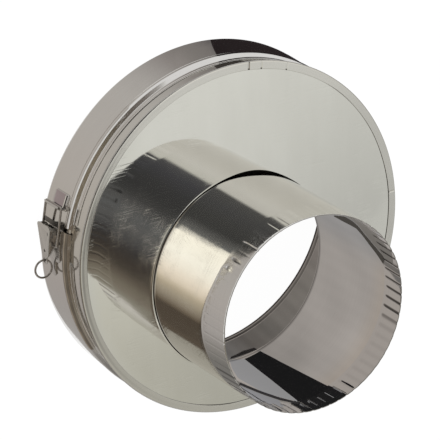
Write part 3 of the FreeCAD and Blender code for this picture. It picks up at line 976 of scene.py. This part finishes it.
DIM = (1.02, 1.00, 0.94)
LOW_STOPS = [(0, DIM), (24, DIM), (36, (1.06, 1.04, 0.975)), (48, (1.13, 1.11, 1.05)), (58, PALE), (71.0, (1.12, 1.10, 1.05)), (74.0, (0.16, 0.16, 0.16)), (91, (0.13, 0.13, 0.135)),
             (106, (0.11, 0.11, 0.11)), (117, (0.105, 0.105, 0.105)), (122, (0.20, 0.20, 0.20)), (126, (0.26, 0.26, 0.26)),
             (131, (0.32, 0.33, 0.34)),
             (132, (2.40, 2.31, 2.08)), (160, (2.35, 2.28, 2.10)), (171, (2.20, 2.08, 1.88)), (180, (2.00, 1.81, 1.58)),
             (188, (1.70, 1.50, 1.26)), (193, (1.30, 1.13, 0.90)), (197, (1.02, 0.88, 0.68)), (204, (0.78, 0.68, 0.54)),
             (212, (0.52, 0.44, 0.35)), (217.5, (0.30, 0.24, 0.18)), (220.5, (0.17, 0.135, 0.105)), (240, (0.175, 0.14, 0.11)),
             (253, (0.185, 0.15, 0.12)), (254.5, (0.66, 0.62, 0.56)), (284, (0.68, 0.65, 0.58))]
HIGH_STOPS = [(0, DIM), (24, DIM), (36, (1.06, 1.04, 0.975)), (46, (1.13, 1.11, 1.05)), (55, PALE), (68.5, (1.12, 1.11, 1.04)), (72.5, (0.16, 0.16, 0.17)), (86, (0.115, 0.115, 0.13)),
              (104, (0.090, 0.090, 0.094)), (118, (0.085, 0.085, 0.088)), (130, (0.11, 0.11, 0.112)), (140, (0.175, 0.175, 0.18)),
              (152, (0.21, 0.215, 0.225)), (166, (0.20, 0.20, 0.205)), (181, (0.125, 0.125, 0.13)), (190, (0.085, 0.080, 0.078)),
              (203, (0.10, 0.085, 0.075)), (213, (0.14, 0.12, 0.10)), (224, (0.26, 0.22, 0.18)), (234, (0.36, 0.32, 0.26)),
              (245, (0.42, 0.37, 0.31)), (252, (0.48, 0.45, 0.38))]
EDGE_HIGH = (1.18, 1.15, 1.10)


def skew(a, knee, by):
    """Moves the stops near the knee by a few degrees, so an edge between two panels can lean."""
    return a - by * max(0.0, 1 - abs(a - knee) / 22.0)


def low_colour(a, e):
    if a >= 300 or a < 0:
        return mix3((0.68, 0.65, 0.58), plate_side(a, e), smooth((a - 300) / 8.0)) if a < 345 else mix3(plate_side(a, e), DIM, smooth((a - 345) / 12.0))
    k = max(0.0, min(1.0, (e - 51.2) / 0.85))
    a = skew(a, 133.0, 7.5 * k)
    edge = 254.0 + 17.0 * max(0.0, min(1.0, (e - 51.4) / 0.6))
    if a > 245:
        return mix3((0.20, 0.16, 0.125), (0.68, 0.65, 0.58), smooth((a - edge) / 2.0 + 0.5))
    return lerp_stops(LOW_STOPS, a)


def high_colour(a, e):
    if a >= 300:
        return plate_side(a, e) if a < 345 else mix3(plate_side(a, e), DIM, smooth((a - 345) / 12.0))
    edge = 270.0 - (e - 54.0) * 9.5
    edge = max(228.0, min(272.0, edge))
    # higher up, where only the crimped end looks, the dark part reaches further round
    edge += (266.0 - edge) * smooth((e - 55.7) / 0.6)
    if a > 205:
        end = mix3(EDGE_HIGH, plate_side(a, e), smooth((a - 256.0) / 44.0))
        return mix3(lerp_stops(HIGH_STOPS, min(a, 252.0)), end, smooth((a - edge) / 3.0 + 0.5))
    return lerp_stops(HIGH_STOPS, a)


sky("sky_high", AZ, [53.5, 54.0, 54.5, 55.0, 55.5, 56.0, 57.0, 58.0, 59.0, 61.0, 65.0, 72.0, 80.0, 89.9], high_colour)
sky("sky_middle", AZ, [49.6, 50.4, 51.0, 51.2, 51.4, 51.6, 51.8, 52.0, 52.3, 52.7, 53.5], low_colour)


def horizon_colour(a, e):
    c = low_colour(a, 51.2)
    if 125 < a < 215:
        t = smooth((a - 125) / 10.0) * (1 - smooth((a - 205) / 10.0))
        c = mix3(c, (1.20, 1.13, 1.03), t)
    # nearer the horizon the painted reflection is plain
    t = smooth((46.0 - e) / 22.0)
    far = abs((a - 330.0 + 180) % 360 - 180)
    base = mix3((0.66, 0.65, 0.62), (0.95, 0.93, 0.89), smooth((far - 40.0) / 40.0))
    return mix3(c, mix3(base, (0.30, 0.26, 0.21), smooth((a - 100) / 14.0) * (1 - smooth((a - 212) / 24.0))), t)


sky("sky_low", AZ, [0.2, 6, 12, 20, 28, 36, 42, 46, 49.6], horizon_colour)

# painted reflection: a glowing card on the floor round the fitting, coloured by the place on the wall that mirrors it
WALL = [(0, (0.60, 0.57, 0.55)), (52, (0.10, 0.10, 0.10)), (84, (0.14, 0.13, 0.13)), (89, (0.27, 0.25, 0.24)), (96, (0.30, 0.28, 0.265)),
        (102, (0.38, 0.35, 0.335)), (108, (0.49, 0.465, 0.445)), (114, (0.58, 0.555, 0.53)), (121, (0.635, 0.61, 0.58)),
        (150, (0.64, 0.60, 0.56)), (168, (0.60, 0.56, 0.51)), (186, (0.52, 0.48, 0.455)), (204, (0.45, 0.43, 0.41)),
        (222, (0.45, 0.43, 0.41)), (240, (0.55, 0.52, 0.49)), (360, (0.60, 0.57, 0.55))]


def wall_place(x, y):
    """Direction of the point on the wall that mirrors the floor at (x, y)."""
    best, deg = 1e9, 0.0
    for k in range(40, 250, 2):
        a = math.radians(k)
        px, py = 129.4 * math.cos(a), 129.4 * math.sin(a)
        b = math.radians(2 * k + 218.6)
        off = abs((x - px) * math.sin(b) - (y - py) * math.cos(b))
        if (x - px) * math.cos(b) + (y - py) * math.sin(b) > -1.0 and off < best:
            best, deg = off, k
    return deg


def floor_card(name, radii, azs, colour, scale=None):
    verts, cols, faces = [], [], []
    for a in azs:
        for r in radii:
            if scale:
                r = r * scale(a)
            x, y = r * math.cos(math.radians(a)), r * math.sin(math.radians(a))
            verts.append((x * MM, y * MM, -0.0062))
            cols.append((*colour(a, r, x, y), 1.0))
    k = len(radii)
    for i in range(len(azs) - 1):
        for j in range(k - 1):
            faces.append((i * k + j, (i + 1) * k + j, (i + 1) * k + j + 1, i * k + j + 1))
    me = bpy.data.meshes.new(name)
    me.from_pydata(verts, [], faces)
    at = me.color_attributes.new("lit", "FLOAT_COLOR", "POINT")
    at.data.foreach_set("color", np.asarray(cols, dtype=np.float32).ravel())
    me.update()
    ob = link(bpy.data.objects.new(name, me))
    ob.data.materials.append(glow(name, (1, 1, 1), 1.0, "lit"))
    reflection_only(ob)
    return ob


floor_card("painted_reflection_near", [130.9, 138.0, 145.0, 152.0, 160.0, 172.0], [2.0 * i for i in range(181)],
           lambda a, r, x, y: lerp_stops(WALL, wall_place(x, y)))
# further out, the painted reflection in the crimped end of the pipe
CRIMP = [(120, (0.55, 0.52, 0.49)), (160, (0.60, 0.57, 0.54)), (182, (0.60, 0.56, 0.53)), (210, (0.52, 0.49, 0.47)), (226, (0.34, 0.32, 0.30)),
         (238, (0.24, 0.23, 0.215)), (262, (0.22, 0.21, 0.20)), (290, (0.40, 0.38, 0.36))]
floor_card("painted_reflection_middle", [172.0, 190.0, 212.0], [120 + 2.0 * i for i in range(86)], lambda a, r, x, y: lerp_stops(CRIMP, a))
# and far out, the painted reflection in the sloping shoulder of the band
SLOPE = [(97, (0.95, 0.95, 0.93)), (101, (0.48, 0.46, 0.44)), (108, (0.22, 0.195, 0.175)), (120, (0.14, 0.118, 0.095)), (132, (0.17, 0.145, 0.10)),
         (142, (0.25, 0.21, 0.15)), (162, (0.25, 0.21, 0.15)), (176, (0.20, 0.16, 0.12)), (200, (0.21, 0.17, 0.125)), (212, (0.27, 0.24, 0.19)),
         (222, (0.33, 0.29, 0.24)), (232, (0.42, 0.41, 0.36)), (240, (0.55, 0.54, 0.50)), (246, (0.9, 0.9, 0.86))]
NEAR_EDGE = [(97, (330.0, 0, 0)), (112, (400.0, 0, 0)), (140, (470.0, 0, 0)), (165, (400.0, 0, 0)), (185, (300.0, 0, 0)), (205, (235.0, 0, 0)),
             (218, (213.0, 0, 0)), (250, (213.0, 0, 0))]
floor_card("painted_reflection_far", [1.0, 1.25, 1.8, 3.0, 6.0, 12.0, 20.0], [97 + 1.0 * i for i in range(150)], lambda a, r, x, y: lerp_stops(SLOPE, a),
           scale=lambda a: lerp_stops(NEAR_EDGE, a)[0])

# painted reflection: a black card beside the casing
flag = [(14.3, 129.9), (19.7, 142.7), (21.5, 157.0), (33.0, 175.5)]
flag += [(176.5 * math.cos(math.radians(a)), 176.5 * math.sin(math.radians(a))) for a in range(76, 36, -4)]
flag += [(131.3 * math.cos(math.radians(a)), 131.3 * math.sin(math.radians(a))) for a in range(37, 82, 4)]
flat_card("painted_dark_reflection_side", [(x, y, -5.9) for x, y in flag], (0.026, 0.020, 0.021))
# painted reflections inside the flue: a grey card on the ground and a black card there
disc = [(128.5 * math.cos(math.radians(a)), 128.5 * math.sin(math.radians(a)), -6.3) for a in range(0, 360, 4)]
flat_card("painted_reflection_inner_ground", disc, (0.51, 0.47, 0.445))
flat_card("painted_dark_reflection_inner", [(84.4, -33.9, -6.0), (97.0, -26.0, -6.0), (97.0, 14.0, -6.0), (70.0, 34.0, -6.0), (51.0, 31.0, -6.0), (46.0, 12.4, -6.0)],
          (0.014, 0.014, 0.015))


def wall_card(name, r, rows, color, cy=-25.5, n=6):
    """A glowing strip of card standing close before the inside of a round wall, a painted reflection on it. Each row
    gives two (direction, height) ends.
    """
    verts, faces = [], []
    fine = []
    for (a, b), (c, d) in zip(rows, rows[1:]):
        for t in (0.0, 0.5):
            fine.append(((a[0] + (c[0] - a[0]) * t, a[1] + (c[1] - a[1]) * t), (b[0] + (d[0] - b[0]) * t, b[1] + (d[1] - b[1]) * t)))
    fine.append(rows[-1])
    for a, b in fine:
        for i in range(n + 1):
            q = math.radians(a[0] + (b[0] - a[0]) * i / n)
            verts.append((r * math.cos(q) * MM, (cy + r * math.sin(q)) * MM, (a[1] + (b[1] - a[1]) * i / n) * MM))
    for i in range(len(fine) - 1):
        for j in range(n):
            k = i * (n + 1) + j
            faces.append((k, k + 1, k + n + 2, k + n + 1))
    me = bpy.data.meshes.new(name)
    me.from_pydata(verts, [], faces)
    ob = link(bpy.data.objects.new(name, me))
    ob.data.materials.append(glow(name, color))
    reflection_only(ob)
    return ob


# painted reflections on the pipe's bore: black, pale and dark-line strips, a dark stroke and a grey patch above it
wall_card("inner_black", 72.30, [((274.5, 39.5), (285.4, 38.8)), ((273.2, 59.6), (286.1, 53.9)), ((271.9, 80.1), (286.4, 64.0)),
                                 ((270.2, 103.9), (287.6, 88.7)), ((268.8, 124.9), (289.4, 125.3))], (0.014, 0.014, 0.015))
wall_card("inner_pale", 72.25, [((267.5, 33.7), (274.5, 39.5)), ((262.0, 48.8), (273.2, 59.6)), ((256.5, 68.9), (271.9, 80.1)),
                                ((258.2, 97.9), (270.2, 103.9)), ((264.7, 115.4), (268.8, 124.9))], (0.385, 0.385, 0.40))
wall_card("inner_line", 72.40, [((253.2, 78.5), (250.2, 83.3)), ((258.2, 97.9), (255.4, 102.4)), ((262.9, 112.3), (260.3, 116.4)),
                                ((268.8, 126.8), (267.3, 129.8))], (0.045, 0.043, 0.045))
wall_card("inner_below", 72.20, [((250.2, 83.3), (249.1, 91.0)), ((255.4, 102.4), (249.3, 116.2)), ((260.3, 116.4), (256.5, 132.2))],
          (0.34, 0.34, 0.36))
wall_card("inner_stroke", 72.40, [((26.4, 70.1), (25.3, 69.1)), ((32.2, 90.5), (25.3, 81.0)), ((32.1, 99.7), (25.7, 90.6)), ((29.5, 104.7), (25.6, 98.3)),
                                  ((25.0, 108.2), (22.7, 102.9)), ((20.3, 114.7), (17.6, 108.9)), ((16.1, 122.2), (12.9, 116.6)),
                                  ((13.3, 127.1), (8.9, 122.6))], (0.085, 0.078, 0.070))
wall_card("inner_upper", 72.20, [((32.2, 90.5), (35.2, 103.0)), ((32.1, 99.7), (35.7, 115.1)), ((29.5, 104.7), (34.1, 126.3)), ((25.0, 108.2), (30.3, 132.6)),
                                 ((20.3, 114.7), (26.8, 138.1)), ((16.1, 122.2), (22.8, 143.5)), ((13.3, 127.1), (14.1, 139.0))], (0.23, 0.215, 0.20))


def wall_field(name, r, cy, ths, zs, colour):
    """A curved glowing card close before a round wall, a painted reflection on it, its colour varying with direction
    and height.
    """
    verts, cols, faces = [], [], []
    for th in ths:
        for z in zs:
            verts.append((r * math.cos(math.radians(th)) * MM, (cy + r * math.sin(math.radians(th))) * MM, z * MM))
            cols.append((*colour(th, z), 1.0))
    m = len(zs)
    for i in range(len(ths) - 1):
        for j in range(m - 1):
            faces.append((i * m + j, (i + 1) * m + j, (i + 1) * m + j + 1, i * m + j + 1))
    me = bpy.data.meshes.new(name)
    me.from_pydata(verts, [], faces)
    at = me.color_attributes.new("lit", "FLOAT_COLOR", "POINT")
    at.data.foreach_set("color", np.asarray(cols, dtype=np.float32).ravel())
    me.update()
    ob = link(bpy.data.objects.new(name, me))
    ob.data.materials.append(glow(name, (1, 1, 1), 1.0, "lit"))
    reflection_only(ob)
    return ob


# painted reflection on the inside of the liner
LINER_TONE = [(0, (0.335, 0.31, 0.29)), (200, (0.24, 0.238, 0.238)), (268, (0.24, 0.238, 0.238)), (276, (0.225, 0.215, 0.21)), (284, (0.20, 0.185, 0.175)),
              (294, (0.235, 0.222, 0.21)), (303, (0.30, 0.28, 0.265)), (318, (0.325, 0.305, 0.285)), (332, (0.345, 0.315, 0.30)), (350, (0.32, 0.295, 0.275))]


def liner_tone(th, z):
    c = lerp_stops(LINER_TONE, th)
    g = 1 + 0.05 * math.sin(0.55 * th) + 0.04 * math.sin(1.3 * th + 0.1 * z) + 0.10 * (smooth((z - 22.0) / 12.0) - 0.5)
    return tuple(g * v for v in c)


wall_field("liner_field", 98.0, 0.0, [262 + 1.0 * i for i in range(101)], [2.0 + 2.4 * i for i in range(13)], liner_tone)


def tube_tone(th, z):
    """The painted reflection in the pipe's bore: dim towards the top and by the dark card, brightest low on the right.
    """
    t = (th + 180) % 360 - 180
    c = mix3((0.505, 0.472, 0.452), (0.52, 0.465, 0.42), smooth((z - 100.0) / 25.0))
    c = mix3(c, (0.405, 0.395, 0.397), smooth((t + 2.0) / 22.0))
    g = 1.0 - 0.05 * smooth((-36.0 - t) / 14.0) * (1 - smooth((z - 70.0) / 30.0)) - 0.16 * smooth((-50.0 - t) / 20.0) * (1 - smooth((z - 60.0) / 50.0))
    g += 0.13 * math.exp(-((t + 41.0) / 10.0) ** 2 - ((z - 104.0) / 20.0) ** 2)
    g += 0.018 * math.sin(0.20 * t + 0.05 * z + 0.6) + 0.012 * math.sin(0.83 * t + 2.0) + 0.02 * math.sin(0.13 * z + 0.16 * t)
    return tuple(g * v for v in c)


wall_field("tube_field", 72.05, -25.5, [284.0 + 1.0 * i for i in range(126)], [35.0 + 3.0 * i for i in range(30)], tube_tone)
# painted reflection on the crimps by the dark card: black, with a painted glint on each ridge
wall_card("crimp_black", 71.80, [((266.0, 121.0), (290.0, 121.0)), ((262.0, 128.0), (291.0, 128.0)), ((262.0, 147.0), (291.0, 147.0))], (0.018, 0.018, 0.019))
for k in range(CRIMPS):
    a = 360.0 * (k + 0.5) / CRIMPS
    if 263.5 < a < 290.0:
        g = 0.22 + 0.30 * hash01(k, 7.0)
        w = 0.18 + 0.16 * hash01(k, 8.0)
        wall_card("crimp_glint_%02d" % k, 71.95, [((a - w, 127.5 + 2.0 * hash01(k, 9.0)), (a + w, 128.0 + 2.0 * hash01(k, 9.0))),
                                                  ((a - w * 0.7, 141.0), (a + w * 0.7, 141.0))], (g, g, g * 1.04), n=2)
# painted reflection and shade on the band's bead by the latch, standing in for the dark wire and plates round it
BEAD_TONE = [(21.6, (0.10, 0.085, 0.07)), (22.8, (0.26, 0.22, 0.18)), (23.7, (0.13, 0.11, 0.085)), (24.7, (0.40, 0.34, 0.27)), (25.9, (0.37, 0.31, 0.24)),
             (26.6, (0.16, 0.135, 0.105)), (28.2, (0.20, 0.17, 0.135)), (29.4, (0.10, 0.085, 0.07)), (360, (0.1, 0.085, 0.07))]
wall_field("bead_shade", 132.2, 0.0, [166.6 + 1.0 * i for i in range(45)], [21.8, 22.2, 22.6, 23.0, 23.4, 23.8, 24.2, 24.6, 25.0, 25.6, 26.0, 26.4, 26.8, 27.4, 28.2, 29.2],
           lambda th, z: tuple(v * (1 + 0.10 * math.sin(0.9 * th)) for v in lerp_stops(BEAD_TONE, z)))
# painted reflections on the keeper plate: a pinkish tone, a painted highlight and painted shadow along two of its edges
wall_card("keeper_tone", 132.05, [((156.9, 1.5), (156.9, 16.6)), ((160.9, 1.5), (160.9, 16.2))], (0.47, 0.39, 0.385), cy=0.0)
wall_card("keeper_glint", 132.05, [((157.4, 16.8), (157.4, 17.9)), ((161.2, 16.2), (161.2, 17.3))], (0.95, 0.90, 0.80), cy=0.0)
wall_card("keeper_edge", 132.05, [((157.0, 18.0), (157.0, 19.6)), ((162.2, 17.4), (162.2, 19.2))], (0.045, 0.04, 0.04), cy=0.0)
wall_card("keeper_foot", 132.05, [((160.9, 3.0), (160.9, 16.6)), ((162.0, 3.0), (162.0, 16.4))], (0.075, 0.07, 0.07), cy=0.0)
# painted shadow: a dark sliver on the liner just below the pipe's end
wall_card("liner_sliver", 98.2, [((270.0, 29.5), (271.3, 26.5)), ((276.6, 30.0), (277.9, 24.3)), ((282.5, 31.3), (282.4, 26.9))], (0.03, 0.028, 0.028), cy=0.0)
# painted dark reflection on the collar's top beside the seam
wall_card("collar_dark", 128.4, [((93.4, 36.2), (94.2, 44.5)), ((88.5, 36.3), (90.5, 44.6)), ((84.5, 36.2), (87.4, 44.6)),
                                 ((81.0, 38.5), (82.5, 43.6)), ((76.5, 40.5), (77.0, 41.5))], (0.06, 0.052, 0.047), cy=0.0)
